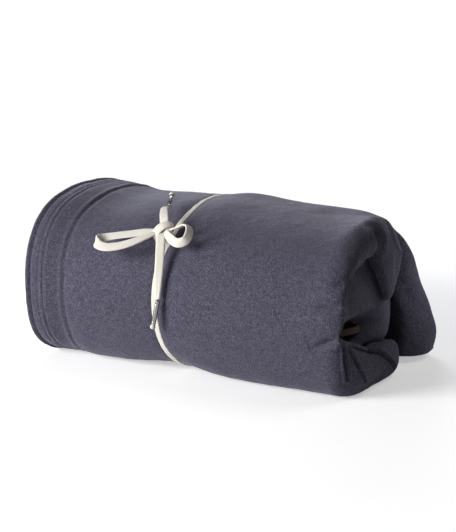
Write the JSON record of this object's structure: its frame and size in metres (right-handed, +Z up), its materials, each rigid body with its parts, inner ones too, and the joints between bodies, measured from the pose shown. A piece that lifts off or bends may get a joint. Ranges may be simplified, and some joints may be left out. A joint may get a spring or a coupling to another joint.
{
  "type": "rolled fleece blanket",
  "caption": "Fleece throw blanket, folded and rolled up, tied round the middle with a flat cotton drawcord in a bow with metal-tipped tails, and a loose flap along the back.",
  "frame": {"origin": "middle of the flattened face that the roll rests on", "axes": "+X along the roll from the hemmed end to the folded end, -Y towards the side that carries the bow, +Z up"},
  "size_m": [0.35, 0.2321, 0.1721],
  "materials": {
    "fleece": "matte, brushed heather sweatshirt fleece",
    "hem_thread": "matte spun thread",
    "cotton_cord": "matte flat braided cotton",
    "metal_tip": "polished nickel"
  },
  "bodies": {
    "roll": {"outer_wrap": "fleece", "inner_wraps": "fleece", "core_roll": "fleece", "outer_ply_hem": "fleece", "inner_ply_hem": "fleece", "back_edge_hem": "fleece", "roll_hem_stitching": "hem_thread", "cord_wrap": "cotton_cord", "bow_knot": "cotton_cord", "core_cord_loop": "cotton_cord"},
    "flap": {"back_flap": "fleece", "flap_folded_end": "fleece", "flap_hem": "fleece", "flap_hem_stitching": "hem_thread"},
    "left_loop": {"bow_loop_left": "cotton_cord"},
    "right_loop": {"bow_loop_right": "cotton_cord"},
    "long_cord_tail": {"long_tail": "cotton_cord"},
    "long_cord_tip": {"long_tail_aglet": "metal_tip", "long_tail_end_knot": "cotton_cord"},
    "short_cord_tail": {"short_tail": "cotton_cord"},
    "short_cord_tip": {"short_tail_aglet": "metal_tip", "short_tail_end_knot": "cotton_cord"}
  },
  "joints": [
    {"name": "flap_lift", "type": "hinge", "parent": "roll", "child": "flap", "pos_m": [0.075, 0.06162, 0.15544], "axis": [1, 0, 0], "range_deg": [0, 40]},
    {"name": "left_loop_swing", "type": "hinge", "parent": "roll", "child": "left_loop", "pos_m": [-0.028, -0.09688, 0.14425], "axis": [0, -0.7193, 0.6947], "range_deg": [-12, 12]},
    {"name": "right_loop_swing", "type": "hinge", "parent": "roll", "child": "right_loop", "pos_m": [-0.028, -0.09688, 0.14425], "axis": [0, -0.7193, 0.6947], "range_deg": [-8, 12]},
    {"name": "long_tail_swing", "type": "hinge", "parent": "roll", "child": "long_cord_tail", "pos_m": [-0.028, -0.09688, 0.14425], "axis": [0, -1, 0], "range_deg": [-20, 14]},
    {"name": "long_tip_bend", "type": "hinge", "parent": "long_cord_tail", "child": "long_cord_tip", "pos_m": [-0.025, -0.116, 0.082], "axis": [0, -1, 0], "range_deg": [-20, 20]},
    {"name": "short_tail_swing", "type": "hinge", "parent": "roll", "child": "short_cord_tail", "pos_m": [-0.028, -0.09688, 0.14425], "axis": [0, -0.7193, 0.6947], "range_deg": [-14, 1]},
    {"name": "short_tip_bend", "type": "hinge", "parent": "short_cord_tail", "child": "short_cord_tip", "pos_m": [-0.04207, -0.06638, 0.16087], "axis": [-0.1713, -0.3662, 0.9146], "range_deg": [-15, 10]}
  ]
}
